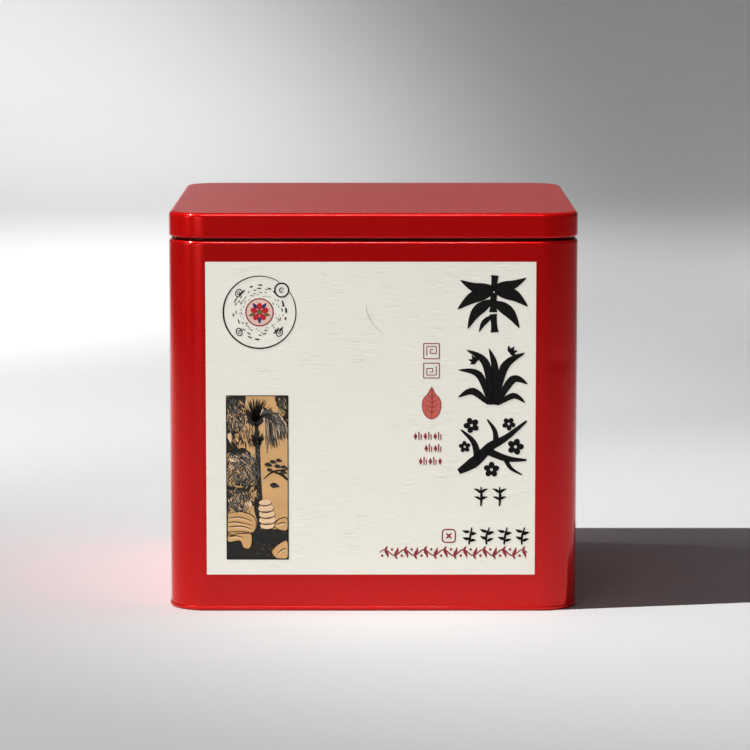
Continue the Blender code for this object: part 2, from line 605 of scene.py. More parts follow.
@dataclass
class TinBody:
    """The wrapped wall: side, lock seam, shoulder, neck and curled mouth."""

    plan: TinPlan
    foot: float = 0.75 * MM
    shoulder_gap: float = 0.62 * MM
    shoulder_radius: float = 1.00 * MM
    neck_inset: float = 1.60 * MM
    neck_fillet: float = 0.20 * MM
    curl_radius: float = 0.60 * MM
    seam_half: float = 1.7 * MM
    seam_slope: float = 0.5 * MM
    seam_depth: float = 0.30 * MM
    bow: float = 0.10 * MM
    dent_place: Point = (50.0 * MM, 67.5 * MM)
    dent_radius: float = 5.5 * MM
    dent_depth: float = 0.10 * MM

    @property
    def shoulder(self) -> float:
        """Height of the shoulder's top."""
        return self.plan.lid_foot - self.shoulder_gap

    @property
    def side_top(self) -> float:
        """Height at which the side ends and the shoulder begins."""
        return self.shoulder - self.shoulder_radius

    def stations(self) -> list[Station]:
        """Give the wall's section from the foot up to the curled mouth."""
        foot = (0.0, self.foot)
        neck_top = self.plan.top - self.plan.sheet - self.plan.touch - self.curl_radius
        fillet_centre = (self.neck_inset - self.neck_fillet, self.shoulder + self.neck_fillet)
        line = [foot] + straight(foot, (0.0, self.side_top), 16)
        line += arc(self.shoulder_radius, self.side_top, self.shoulder_radius, 0, 90, 8)[1:]
        line += arc(*fillet_centre, self.neck_fillet, 270, 180, 3)
        line += straight(line[-1], (self.neck_inset, neck_top), 2)
        line += arc(self.neck_inset + self.curl_radius, neck_top, self.curl_radius, 0, 285, 14)[1:]
        return line

    def relief(self, x: float, z: float) -> float:
        """Tell how far a side is pressed in at a place.

        Args:
            x: distance along the side from its middle.
            z: height.

        Returns:
            The depth inwards, never negative.
        """
        fade = smooth_step(self.plan.core - abs(x), 0.0, 12 * MM)
        fade *= smooth_step(z, 4 * MM, 18 * MM) * smooth_step(self.side_top - z, 1 * MM, 14 * MM)
        swell = noise.noise(Vector((x, z, 0.0)) / (42 * MM)) * 0.5 + 0.5
        return self.bow * fade * swell

    def bend(self, mesh: bmesh.types.BMesh) -> None:
        """Bow the sides a little and press the dent beside the label."""
        for vert in mesh.verts:
            if not 1.3 * MM < vert.co.z < self.side_top:
                continue
            out = self.plan.outward(vert.co)
            along = vert.co.y if abs(out.x) > abs(out.y) else vert.co.x
            depth = self.relief(along, vert.co.z) if max(abs(out.x), abs(out.y)) > 0.999 else 0.0
            if out.y < 0 and vert.co.x > 0:
                away = hypot(vert.co.x - self.dent_place[0], (vert.co.z - self.dent_place[1]) * 1.6)
                depth += self.dent_depth * smooth_step(self.dent_radius - away, 0.0, self.dent_radius)
            vert.co -= out * depth

    def cut_seam(self, mesh: bmesh.types.BMesh) -> None:
        """Cut the back at the edges of the lock seam and press its groove."""
        core, edge = self.plan.core, self.seam_half + self.seam_slope
        for place in (-edge, -self.seam_half, self.seam_half, edge):
            back = [item for item in mesh.verts if item.co.y > core]
            for items in (mesh.edges, mesh.faces):
                back += [item for item in items if all(vert.co.y > core for vert in item.verts)]
            cut(mesh, back, Vector((1, 0, 0)), place)
        for vert in mesh.verts:
            if vert.co.y > core and abs(vert.co.x) < self.seam_half + self.seam_slope / 2:
                depth = self.seam_depth * smooth_step(vert.co.z, 2 * MM, 7 * MM)
                vert.co.y -= depth * smooth_step(self.side_top + 0.1 * MM - vert.co.z, 0.0, 6 * MM)

    def refine_dent(self, mesh: bmesh.types.BMesh) -> None:
        """Cut finer cells round the dent, which is smaller than the wall's cells."""
        middle = Vector((self.dent_place[0], 0, self.dent_place[1]))
        for _ in range(2):
            near = [
                edge for edge in mesh.edges
                if all(vert.co.y < -self.plan.core and ((vert.co - middle) * Vector((1, 0, 1))).length
                       < 2.2 * self.dent_radius for vert in edge.verts)
            ]
            bmesh.ops.subdivide_edges(mesh, edges=near, cuts=1, use_grid_fill=True)

    def build(self, press: SheetPress) -> bpy.types.Object:
        """Build the wall.

        Args:
            press: the sheet press.

        Returns:
            The piece, riding on the tin and standing for the plain wall.
        """
        # The band of painted shade lies in the gap between the shoulder and the lid's hem.
        coat = RedLacquer(
            "body_lacquer", rub_height=self.shoulder - self.shoulder_radius / 3,
            groove_shade_height=(self.plan.lid_foot + self.shoulder + self.shoulder_gap) / 2,
            groove_shade_band=self.shoulder_gap * 0.9,
        )
        mesh = press.press(self.stations(), has_panel=False)
        self.cut_seam(mesh)
        self.refine_dent(mesh)
        self.bend(mesh)
        piece = press.finish("tin_body", mesh, coat.material())
        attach(piece, "tin")
        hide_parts("body_wall")
        return piece


@dataclass
class TinBase:
    """The base: stepped panel, countersunk side and the rim rolled round the wall's foot."""

    plan: TinPlan
    recess: float = 2.0 * MM
    step_inset: float = 7.0 * MM
    step_rise: float = 0.7 * MM
    step_radius: float = 0.5 * MM
    turn_radius: float = 0.6 * MM
    rim_height: float = 1.15 * MM
    rim_round: float = 0.28 * MM
    outer_turn: float = 0.6 * MM
    inner_turn: float = 0.40 * MM

    def stations(self) -> list[Station]:
        """Give the base's section from the middle panel out to the rim's upper edge."""
        proud = self.plan.rim_half - self.plan.half
        outer_centre = self.outer_turn - proud
        inner_centre = outer_centre + 0.15 * MM
        leg = inner_centre + self.inner_turn
        high, low = self.recess, self.recess - self.step_rise
        bends = (
            (self.step_inset + self.step_radius, high - self.step_radius, self.step_radius, 90, 30, 4),
            (self.step_inset - 0.1 * MM, low + self.step_radius, self.step_radius, 210, 270, 4),
            (leg + self.turn_radius, low - self.turn_radius, self.turn_radius, 90, 0, 6),
            (inner_centre, self.inner_turn, self.inner_turn, 180, 270, 6),
            (outer_centre, self.outer_turn, self.outer_turn, 270, 360, 9),
            (self.rim_round - proud, self.rim_height - self.rim_round, self.rim_round, 0, 78, 5),
        )
        return [station for bend in bends for station in arc(*bend)]

    def build(self, press: SheetPress) -> bpy.types.Object:
        """Build the base.

        Args:
            press: the sheet press.

        Returns:
            The piece, riding on the tin and standing for the plain base.
        """
        mesh = press.press(self.stations(), has_panel=True)
        piece = press.finish("tin_base", mesh, RedLacquer("base_lacquer").material())
        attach(piece, "tin")
        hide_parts("base_panel")
        return piece


@dataclass
class TinLid:
    """The drawn lid: flat top, rounded edge, short skirt and a hem rolled inwards."""

    plan: TinPlan
    edge_radius: float = 1.20 * MM
    hem_radius: float = 0.65 * MM
    sag: float = 0.10 * MM

    def stations(self) -> list[Station]:
        """Give the lid's section from the top panel down to the end of the hem."""
        edge, hem = self.edge_radius, self.hem_radius
        line = arc(edge, self.plan.top - edge, edge, 90, 0, 8)
        line += straight(line[-1], (0.0, self.plan.lid_foot + hem), 4)
        line += arc(hem, self.plan.lid_foot + hem, hem, 0, -285, 16)[1:]
        return line

    def sink_panel(self, mesh: bmesh.types.BMesh) -> None:
        """Let the top panel sink very slightly and unevenly."""
        for vert in mesh.verts:
            reach = max(abs(vert.co.x), abs(vert.co.y))
            if vert.co.z > self.plan.top - 1e-6 and reach < self.plan.half - self.edge_radius - 1e-5:
                fade = smooth_step(self.plan.half - reach, 2 * MM, 22 * MM)
                swell = noise.noise(vert.co / (50 * MM)) * 0.5 + 0.5
                vert.co.z -= self.sag * fade * swell

    def build(self, press: SheetPress) -> bpy.types.Object:
        """Build the lid.

        Args:
            press: the sheet press.

        Returns:
            The piece, riding on the lid and standing for the plain lid.
        """
        foot = self.plan.lid_foot
        # The thin band of painted shade darkens the foot of the lid's hem, over the gap.
        coat = RedLacquer("lid_lacquer", metallic=0.34, coat=0.22, rub_height=foot + 0.3 * MM, groove_shade_height=foot,
                          groove_shade_band=0.12 * MM)
        mesh = press.press(self.stations(), has_panel=True)
        self.sink_panel(mesh)
        piece = press.finish("tin_lid", mesh, coat.material())
        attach(piece, "lid")
        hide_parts("lid")
        return piece


# --------------------------------------------------------------------------- label


@dataclass
class PaperLabel:
    """The paper glued on the front, which follows the wall's slight bow."""

    plan: TinPlan
    body: TinBody
    thickness: float = 0.13 * MM
    cells: int = 44

    def surface(self, x: float, z: float) -> float:
        """Give the y of the paper's front at a place across and up the tin."""
        return -self.plan.half - self.plan.touch - self.thickness + self.body.relief(x, z)

    def build(self) -> bpy.types.Object:
        """Build the sheet of paper.

        Returns:
            The piece, riding on the tin and standing for the plain label.
        """
        low, high = self.plan.label_low, self.plan.label_high
        fit = Matrix.Diagonal((high.x - low.x, high.z - low.z, 1.0, 1.0))
        place = Matrix.Translation((low + high) / 2) @ Matrix.Rotation(pi / 2, 4, "X") @ fit
        mesh = bmesh.new()
        bmesh.ops.create_grid(mesh, x_segments=self.cells, y_segments=self.cells, size=0.5, matrix=place)
        for vert in mesh.verts:
            vert.co.y = self.surface(vert.co.x, vert.co.z)
        piece = object_from(mesh, "label_paper_sheet", BrushedPaper("label_paper").material())
        thicken(piece, self.thickness)
        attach(piece, "tin")
        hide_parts("front_label")
        return piece


def cut(
    mesh: bmesh.types.BMesh, geometry: list, direction: Vector, place: float, near: float = 1e-6
) -> list:
    """Cut part of a mesh along one plane.

    Args:
        mesh: the mesh.
        geometry: the vertices, edges and faces to cut.
        direction: the plane's normal.
        place: the plane's distance from the origin.
        near: distance within which a vertex counts as lying on the plane.

    Returns:
        The geometry after the cut.
    """
    step = {"plane_co": direction * place, "plane_no": direction}
    return bmesh.ops.bisect_plane(mesh, geom=geometry, dist=near, **step)["geom"]


def thicken(piece: bpy.types.Object, thickness: float) -> bpy.types.Modifier:
    """Give a sheet its thickness, away from its visible side."""
    sheet = piece.modifiers.new("sheet", "SOLIDIFY")
    sheet.thickness, sheet.offset = thickness, -1
    return sheet


def object_from(mesh: bmesh.types.BMesh, name: str, material: bpy.types.Material) -> bpy.types.Object:
    """Turn a mesh into a linked object.

    Args:
        mesh: the mesh, which is freed.
        name: the object's name.
        material: its material.

    Returns:
        The object.
    """
    data = bpy.data.meshes.new(name)
    mesh.to_mesh(data)
    mesh.free()
    data.materials.append(material)
    piece = bpy.data.objects.new(name, data)
    bpy.context.scene.collection.objects.link(piece)
    return piece


# --------------------------------------------------------------------------- print
# The print's places are (x, z) in millimetres from the middle of the label.


def moved(points: Iterable[Point], centre: Point) -> list[Point]:
    """Shift points that are measured from a centre to their places."""
    return [(centre[0] + across, centre[1] + up) for across, up in points]


def polar(centre: Point, reach: float, degrees: float, squash: float = 1.0) -> Point:
    """Give the point at an angle round a centre, on a circle or an oval."""
    angle = radians(degrees)
    return (centre[0] + reach * cos(angle), centre[1] + reach * squash * sin(angle))


def smooth_path(points: Sequence[Point], steps: int = 5, closed: bool = False) -> list[Point]:
    """Run a smooth curve through points.

    Args:
        points: the points, at least two.
        steps: points per span.
        closed: whether the curve returns to its first point.

    Returns:
        The curve's points.
    """
    count = len(points)
    curve: list[Point] = []
    for span in range(count if closed else count - 1):
        places = range(span - 1, span + 3)
        indices = [place % count if closed else max(0, min(count - 1, place)) for place in places]
        before, first, last, after = (Vector(points[index]) for index in indices)
        for step in range(steps):
            t = step / steps
            bend = (2 * before - 5 * first + 4 * last - after) * t * t
            twist = (3 * (first - last) + after - before) * t * t * t
            place = (2 * first + (last - before) * t + bend + twist) / 2
            curve.append((place.x, place.y))
    return curve if closed else curve + [tuple(points[-1])]


def read_widths(widths: Sequence[float], count: int) -> list[float]:
    """Spread a few widths evenly along a stroke of count points."""
    spread = []
    for index in range(count):
        place = index / max(1, count - 1) * (len(widths) - 1)
        low = min(int(place), len(widths) - 1)
        high = min(low + 1, len(widths) - 1)
        spread.append(widths[low] + (widths[high] - widths[low]) * (place - low))
    return spread


@dataclass
class InkFilm:
    """All the print of one ink, drawn flat in millimetres and then laid on the label."""

    name: str
    ink: PrintInk
    lift: float
    cell: float = 1.9
    mesh: bmesh.types.BMesh = field(default_factory=bmesh.new)

    def stroke(self, points: Sequence[Point], widths: Sequence[float], steps: int = 5) -> None:
        """Draw a brush stroke.

        Args:
            points: points along the stroke.
            widths: widths from its start to its end.
            steps: curve points per span; 1 keeps the corners.
        """
        path = smooth_path(points, steps) if steps > 1 else list(points)
        first = second = None
        for index, (place, width) in enumerate(zip(path, read_widths(widths, len(path)))):
            along = (Vector(path[min(len(path) - 1, index + 1)]) - Vector(path[max(0, index - 1)])).normalized()
            side = Vector((-along.y, 0, along.x)) * width / 2
            middle = Vector((place[0], 0, place[1]))
            if first is None:
                first, second = self.mesh.verts.new(middle + side), self.mesh.verts.new(middle - side)
                edge = self.mesh.edges.new((first, second))
                continue
            made = bmesh.ops.extrude_edge_only(self.mesh, edges=[edge])["geom"]
            fresh = [item for item in made if isinstance(item, bmesh.types.BMVert)]
            first, second = sorted(fresh, key=lambda vert: (vert.co - first.co).length)
            edge = self.mesh.edges.get((first, second))
            first.co, second.co = middle + side, middle - side

    def leaf(self, base: Point, tip: Point, width: float, bend: float = 0.0) -> None:
        """Draw a pointed leaf.

        Args:
            base: where it starts.
            tip: where it ends.
            width: its widest part.
            bend: sideways bow, as a share of its length.
        """
        start, end = Vector(base), Vector(tip)
        run = end - start
        middle = (start + end) / 2 + Vector((-run.y, run.x)) * bend
        shares = (0.22, 0.62, 0.95, 1.0, 0.86, 0.58, 0.30, 0.04)
        self.stroke((base, (middle.x, middle.y), tip), [width * share for share in shares], 6)

    def patch(self, outline: Sequence[Point], steps: int = 3) -> None:
        """Fill an outline, in cells that can follow the paper's bow.

        Args:
            outline: points round it.
            steps: curve points per span; 1 keeps the corners.
        """
        path = smooth_path(outline, steps, closed=True) if steps > 1 else list(outline)
        verts = [self.mesh.verts.new((x, 0, z)) for x, z in path]
        faces = bmesh.ops.contextual_create(self.mesh, geom=verts)["faces"]
        made = bmesh.ops.triangulate(self.mesh, faces=faces, quad_method="BEAUTY", ngon_method="BEAUTY")["faces"]
        geometry = verts + list(dict.fromkeys(edge for face in made for edge in face.edges)) + made
        for axis, direction in enumerate((Vector((1, 0, 0)), Vector((0, 0, 1)))):
            places = [point[axis] for point in path]
            for index in range(ceil(min(places) / self.cell), floor(max(places) / self.cell) + 1):
                geometry = cut(self.mesh, geometry, direction, index * self.cell, 1e-5)

    def disc(self, centre: Point, radius: float, squash: float = 1.0, turn: float = 0.0, steps: int = 24) -> None:
        """Fill a disc or an oval.

        Args:
            centre: its middle.
            radius: its longer radius.
            squash: its shorter radius as a share of the longer.
            turn: the longer radius's angle in degrees.
            steps: points round it.
        """
        place = Matrix.Translation((centre[0], 0, centre[1])) @ Matrix.Rotation(-radians(turn), 4, "Y")
        place = place @ Matrix.Diagonal((1, 1, squash, 1)) @ Matrix.Rotation(pi / 2, 4, "X")
        bmesh.ops.create_circle(self.mesh, cap_ends=True, segments=steps, radius=radius, matrix=place)

    def ring(self, centre: Point, radius: float, width: float, start: float = 0.0, end: float = 360.0,
             squash: float = 1.0, turn: float = 0.0) -> None:
        """Draw a ring, an oval ring or an arc.

        Args:
            centre: its middle.
            radius: its longer radius.
            width: the line's width.
            start: first angle in degrees.
            end: last angle in degrees.
            squash: its shorter radius as a share of the longer.
            turn: the longer radius's angle in degrees.
        """
        steps = max(4, int(abs(end - start) / 360 * (14 + radius * 6)))
        lean = Matrix.Rotation(radians(turn), 2)
        path = []
        for step in range(steps + 1):
            place = lean @ Vector(polar((0, 0), radius, start + (end - start) * step / steps, squash))
            path.append((centre[0] + place.x, centre[1] + place.y))
        tips = [width] if abs(end - start) >= 360 else [width * 0.5, width, width, width * 0.5]
        self.stroke(path, tips, 1)

    def box(self, low: Point, high: Point, width: float) -> None:
        """Draw the outline of an upright rectangle from its lower left to its upper right corner."""
        for z in (low[1], high[1]):
            self.stroke(((low[0], z), (high[0], z)), [width], 1)
        for x in (low[0], high[0]):
            self.stroke(((x, low[1]), (x, high[1])), [width], 1)

    def lay(self, label: PaperLabel) -> bpy.types.Object:
        """Lay the film on the label.

        Args:
            label: the label that it lies on.

        Returns:
            The piece, riding on the tin.
        """
        middle = (label.plan.label_low + label.plan.label_high) / 2
        for vert in self.mesh.verts:
            x, z = middle.x + vert.co.x * MM, middle.z + vert.co.z * MM
            vert.co = (x, label.surface(x, z) - self.lift * MM, z)
        for face in self.mesh.faces:
            face.normal_update()
        bmesh.ops.reverse_faces(self.mesh, faces=[face for face in self.mesh.faces if face.normal.y > 0])
        piece = object_from(self.mesh, self.name, self.ink.material())
        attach(piece, "tin")
        return piece


class InkTone(Enum):
    """Inks in the order of printing, each with its colour and the colour that it has where it is thin."""

    OCHRE = ((0.620, 0.365, 0.160), (0.68, 0.44, 0.23))
    BLUSH = ((0.740, 0.500, 0.440), (0.78, 0.62, 0.54))
    # Painted shadow of a crease in the paper, laid like an ink.
    CREASE = ((0.380, 0.365, 0.320), (0.60, 0.58, 0.50))
    OLIVE = ((0.140, 0.140, 0.050), (0.40, 0.38, 0.22))
    ROSE = ((0.480, 0.020, 0.030), (0.65, 0.20, 0.18))
    NAVY = ((0.030, 0.032, 0.110), (0.25, 0.25, 0.30))
    SALMON = ((0.520, 0.110, 0.090), (0.70, 0.42, 0.35))
    MAROON = ((0.270, 0.035, 0.040), (0.55, 0.33, 0.28))
    CHARCOAL = ((0.022, 0.020, 0.018), (0.120, 0.088, 0.056))
    TAN = ((0.600, 0.350, 0.150), (0.66, 0.42, 0.22))
    SAND = ((0.780, 0.530, 0.330), (0.80, 0.60, 0.42))
    GREY = ((0.110, 0.105, 0.095), (0.33, 0.25, 0.15))
    BLACK = ((0.0045, 0.0042, 0.0040), (0.030, 0.028, 0.025))


@dataclass
class LabelPrint:
    """Everything printed on the label: an emblem, a landscape, brush sprigs, seals and rows of ornament."""

    label: PaperLabel
    chance: random.Random = field(default_factory=lambda: random.Random(27))
    first_lift: float = 0.008
    lift_step: float = 0.005
    films: dict[InkTone, InkFilm] = field(default_factory=dict)

    def __post_init__(self) -> None:
        """Start one film per ink, later inks over earlier ones."""
        for index, tone in enumerate(InkTone):
            name = tone.name.lower()
            lift = self.first_lift + self.lift_step * index
            self.films[tone] = InkFilm(f"print_{name}", PrintInk(f"ink_{name}", *tone.value), lift)
        self.black, self.maroon = self.films[InkTone.BLACK], self.films[InkTone.MAROON]

    def emblem(self, centre: Point, radius: float) -> None:
        """Draw the round emblem: a fine ring, three beads, a small moon and a flower in broken brush rings.

        Args:
            centre: its middle.
            radius: the outer ring's radius.
        """
        dark = self.films[InkTone.CHARCOAL]
        self.black.ring(centre, radius, 0.40, 57.0, 393.0)
        moon = (centre[0] + radius * 0.613, centre[1] + radius * 0.613)
        self.black.ring(moon, 1.85, 0.40)
        self.black.ring(moon, 0.62, 0.24, 20.0, 320.0)
        self.black.disc(moon, 0.20, steps=10)
        for angle, lean in ((137.0, 60.0), (224.0, 110.0), (314.0, 70.0)):
            bead = polar(centre, 7.6, angle)
            dark.ring(bead, 1.05, 0.26, squash=0.72, turn=lean)
            dark.ring(bead, 0.42, 0.18, squash=0.6, turn=lean)
        for count, reach, line in ((36, 4.6, 0.20), (34, 5.3, 0.22), (26, 6.1, 0.28), (18, 7.0, 0.42)):
            for index in range(count):
                angle = 360 / count * (index + self.chance.uniform(-0.35, 0.35))
                span = 360 / count * self.chance.uniform(0.25, 0.95)
                if self.chance.random() < 0.80:
                    pull = self.chance.uniform(-0.35, 0.35)
                    dark.ring(centre, reach + pull, line * self.chance.uniform(0.6, 1.3), angle, angle + span)
        self.flower(centre)

    def flower(self, centre: Point) -> None:
        """Draw the small flower in the emblem's middle."""
        rose, olive, navy = (self.films[tone] for tone in (InkTone.ROSE, InkTone.OLIVE, InkTone.NAVY))
        self.films[InkTone.BLUSH].disc(centre, 3.6, steps=36)
        self.maroon.ring(centre, 3.65, 0.34)
        for index in range(5):
            angle = 90 + 72 * index
            rose.disc(polar(centre, 1.55, angle), 0.98, 0.78, angle, 16)
            sepal = olive if index % 2 else navy
            sepal.leaf(polar(centre, 1.3, angle + 36), polar(centre, 3.1, angle + 36), 0.95)
        olive.disc(centre, 0.62, steps=14)
        self.maroon.ring(centre, 0.66, 0.16)

    def seals(self) -> None:
        """Draw the two square seals with a key fret, and the small round-cornered one at the foot."""
        fret = ((0.2, 0.2), (0.2, 0.8), (0.8, 0.8), (0.8, 0.35), (0.42, 0.35), (0.42, 0.6), (0.62, 0.6))
        turned = tuple((1 - x, 1 - z) for x, z in fret)
        for low, high, shape in (((14.15, 16.3), (18.35, 20.4), fret), ((14.15, 11.1), (18.35, 15.1), turned)):
            self.maroon.box(low, high, 0.26)
            path = [(low[0] + (high[0] - low[0]) * x, low[1] + (high[1] - low[1]) * z) for x, z in shape]
            for ends in zip(path, path[1:]):
                self.maroon.stroke(ends, [0.24], 1)
        self.rounded_seal((21.0, -31.75), 1.75)

    def rounded_seal(self, centre: Point, reach: float) -> None:
        """Draw a round-cornered seal with four petals, reach being half its width."""
        path = []
        for index in range(33):
            x, z = polar((0, 0), 1.0, index * 360 / 32)
            fit = reach * (abs(x) ** 5 + abs(z) ** 5) ** -0.2
            path.append((centre[0] + fit * x, centre[1] + fit * z))
        self.maroon.stroke(path, [0.36], 1)
        for turn in (45, 135, 225, 315):
            self.maroon.leaf(centre, polar(centre, 1.15, turn), 0.52)

    def red_leaf(self, centre: Point) -> None:
        """Draw the red leaf between the seals and the ornament rows, round the middle of its blade."""
        half = ((1.0, 2.6), (2.2, 1.2), (2.5, -1.0), (1.7, -3.2))
        left = tuple((-across, up) for across, up in reversed(half))
        outline = moved(((0, 4.3), *half, (0, -4.2), *left), centre)
        self.films[InkTone.SALMON].patch(outline, 4)
        self.maroon.stroke(smooth_path(outline, 4, closed=True), [0.22], 1)
        self.maroon.stroke(moved(((0, 4.6), (0.15, 1.0), (0, -3.9)), centre), [0.16, 0.34, 0.14])
        for rise in (2.0, 0.7, -0.7, -2.0):
            for side in (-1, 1):
                reach = side * (2.0 - abs(rise + 0.4) * 0.32)
                self.maroon.stroke(moved(((0, rise - 0.5), (reach, rise + 0.45)), centre), [0.22, 0.10], 1)

    def ornament_rows(self) -> None:
        """Draw the three short rows of dashes and diamonds, and the vine along the foot."""
        right = 19.0
        for left, z in ((11.4, -4.6), (14.3, -7.9), (12.8, -11.4)):
            count = round((right - left) / 1.3)
            for index in range(count):
                place = (left + 0.6 + index * (right - left - 1.0) / max(1, count - 1), z)
                if index % 2:
                    for x, top, widths in ((-0.40, 1.15, (0.36, 0.26)), (0.20, 0.45, (0.34, 0.24))):
                        self.maroon.stroke(moved(((x, top), (x, -1.05)), place), widths, 1)
                else:
                    self.maroon.patch(moved(((-0.52, -0.1), (0, 0.95), (0.52, -0.1), (0, -1.1)), place), 1)
        self.vine(2.4, 42.1, -36.3)

    def vine(self, left: float, right: float, middle: float) -> None:
        """Draw a running vine with a leaf in each turn.

        Args:
            left: where it starts.
            right: where it ends.
            middle: its height.
        """
        turns = 15
        pitch = (right - left) / turns
        path = [(left + pitch * k / 4, middle + 0.80 * sin(pi * k / 4)) for k in range(turns * 4 + 1)]
        self.maroon.stroke(path, [0.26, 0.40, 0.34, 0.40, 0.34, 0.40, 0.26], 2)
        for index in range(turns):
            place = (left + pitch * (index + 0.5), middle)
            up = 1 if index % 2 == 0 else -1
            self.maroon.leaf(*moved(((0, up * 0.55), (0.95, -up * 1.50)), place), 0.80, 0.12 * up)
            self.maroon.disc(moved([(-0.66, -up * 0.85)], place)[0], 0.36, steps=10)
            self.maroon.leaf(*moved(((0.1, up * 0.65), (0.80, up * 1.85)), place), 0.60)

    def bamboo(self, centre: Point) -> None:
        """Draw a bamboo sprig with broad ink leaves."""
        for ends in (((0.6, 7.7), (0.3, 3.4)), ((0.3, 3.0), (0.2, -2.2)), ((0.2, -2.7), (0.6, -7.6))):
            self.black.stroke(moved(ends, centre), [2.1, 1.6, 1.6, 2.2], 4)
        leaves = (
            ((0.4, 4.4), (-8.6, 6.4), 2.9, 0.12), ((0.2, 3.2), (-9.3, -1.4), 3.4, -0.10),
            ((0.0, 1.0), (-6.6, -6.6), 3.0, -0.12), ((0.6, 4.8), (9.0, 7.0), 2.7, -0.10),
            ((0.6, 3.4), (9.4, -0.6), 3.4, 0.12), ((0.4, 0.6), (7.2, -6.4), 3.1, 0.10),
            ((-0.2, -3.2), (-3.6, -7.6), 1.5, -0.1),
        )
        for base, tip, width, bend in leaves:
            self.black.leaf(*moved((base, tip), centre), width, bend)

    def orchid(self, centre: Point) -> None:
        """Draw an orchid: long ink blades from one root, with two flowers."""
        blades = (
            ((-0.6, -7.4), (-3.6, 0.6), (-9.2, 2.0), 2.3), ((-0.2, -7.4), (-1.8, 3.6), (-7.0, 7.4), 2.6),
            ((0.2, -7.4), (0.6, 2.4), (-1.0, 7.8), 2.3), ((0.6, -7.4), (3.2, 2.8), (8.6, 6.6), 2.8),
            ((1.0, -7.4), (5.4, -0.6), (9.4, -1.8), 2.6), ((-1.0, -7.2), (-5.2, -3.8), (-9.2, -5.4), 2.4),
            ((1.2, -7.4), (5.6, -5.0), (8.8, -6.9), 2.0),
        )
        shares = (0.35, 0.7, 0.95, 1.0, 0.8, 0.45, 0.05)
        for *path, width in blades:
            self.black.stroke(moved(path, centre), [0.82 * width * share for share in shares], 8)
        for across, up, lean in ((4.6, 7.0, 30), (-4.4, 4.6, 150)):
            for turn in (-70, -25, 25, 70):
                tip = polar((across, up), 2.1, lean + turn, 1.6 / 2.1)
                self.black.leaf(*moved(((across, up - 0.4), tip), centre), 1.0)

    def plum(self, centre: Point) -> None:
        """Draw a flowering plum branch."""
        branches = (
            (((-9.0, -6.6), (-4.4, -3.6), (-0.6, 0.2), (3.6, 2.6), (9.2, 7.2)), (1.4, 3.0, 2.6, 2.2, 1.5, 0.5)),
            (((-3.8, -3.2), (-5.0, 1.4), (-8.4, 4.8)), (2.2, 1.5, 0.4)),
            (((1.0, 1.2), (0.6, 4.6), (-1.4, 7.6)), (1.7, 1.2, 0.4)),
            (((-1.6, -0.8), (3.8, -3.0), (9.2, -3.4)), (2.2, 1.7, 0.5)),
            (((3.4, -2.8), (5.0, -5.6), (8.0, -7.4)), (1.4, 1.0, 0.3)),
        )
        for path, widths in branches:
            self.black.stroke(moved(path, centre), widths, 5)
        blooms = ((-5.6, 6.0, 2.0), (4.4, 6.4, 1.7), (6.2, 0.2, 2.1), (-0.2, -6.0, 2.0), (-7.4, 0.2, 1.5))
        for across, up, size in blooms:
            for index in range(5):
                angle = 90 + 72 * index + across * 9
                petal = polar((centre[0] + across, centre[1] + up), size * 0.62, angle)
                self.black.disc(petal, size * 0.46, 0.86, angle, 12)

    def sprig_row(self) -> None:
        """Draw the two small marks under the plum and the row of four beside the foot seal."""
        for place in ((29.6, -21.0), (34.6, -21.0)):
            self.black.stroke(moved(((0, 2.6), (0.15, 0), (0, -2.6)), place), [0.3, 0.75, 0.4])
            for side in (-1, 1):
                self.black.leaf(*moved(((0, 0.9), (side * 2.0, 2.1)), place), 0.75, 0.1 * side)
                self.black.leaf(*moved(((0, -0.9), (side * 1.9, -0.1)), place), 0.7, 0.1 * side)
        for index in range(4):
            place = (26.6 + index * 4.75, -31.8)
            lean = self.chance.uniform(-0.5, 0.5)
            self.black.stroke(moved(((-0.2, -2.3), (lean, 0), (0.6, 2.4)), place), [0.45, 0.62, 0.3])
            for rise, reach, width in ((1.2, -2.0, 0.85), (0.4, 1.9, 0.95), (-0.7, -1.9, 0.9), (-1.4, 1.8, 0.8)):
                self.black.leaf(*moved(((0, rise), (reach, rise + 0.5 - lean)), place), width, 0.08)

    def crease_shadow_line(self) -> None:
        """Draw the painted shadow of the hairline crease right of the emblem."""
        path = ((-1.2, 30.9), (-0.9, 28.6), (0.7, 25.6), (3.6, 22.7))
        self.films[InkTone.CREASE].stroke(path, [0.05, 0.16, 0.13, 0.05])

    def build(self) -> list[bpy.types.Object]:
        """Draw and lay the whole print.

        Returns:
            The pieces, one per ink.
        """
        self.emblem((-29.7, 28.8), 9.7)
        Landscape(self.films, self.chance).draw()
        self.seals()
        self.red_leaf((16.3, 4.2))
        self.ornament_rows()
        self.bamboo((32.5, 31.0))
        self.orchid((32.6, 11.3))
        self.plum((32.6, -7.7))
        self.sprig_row()
        self.crease_shadow_line()
        return [film.lay(self.label) for film in self.films.values()]


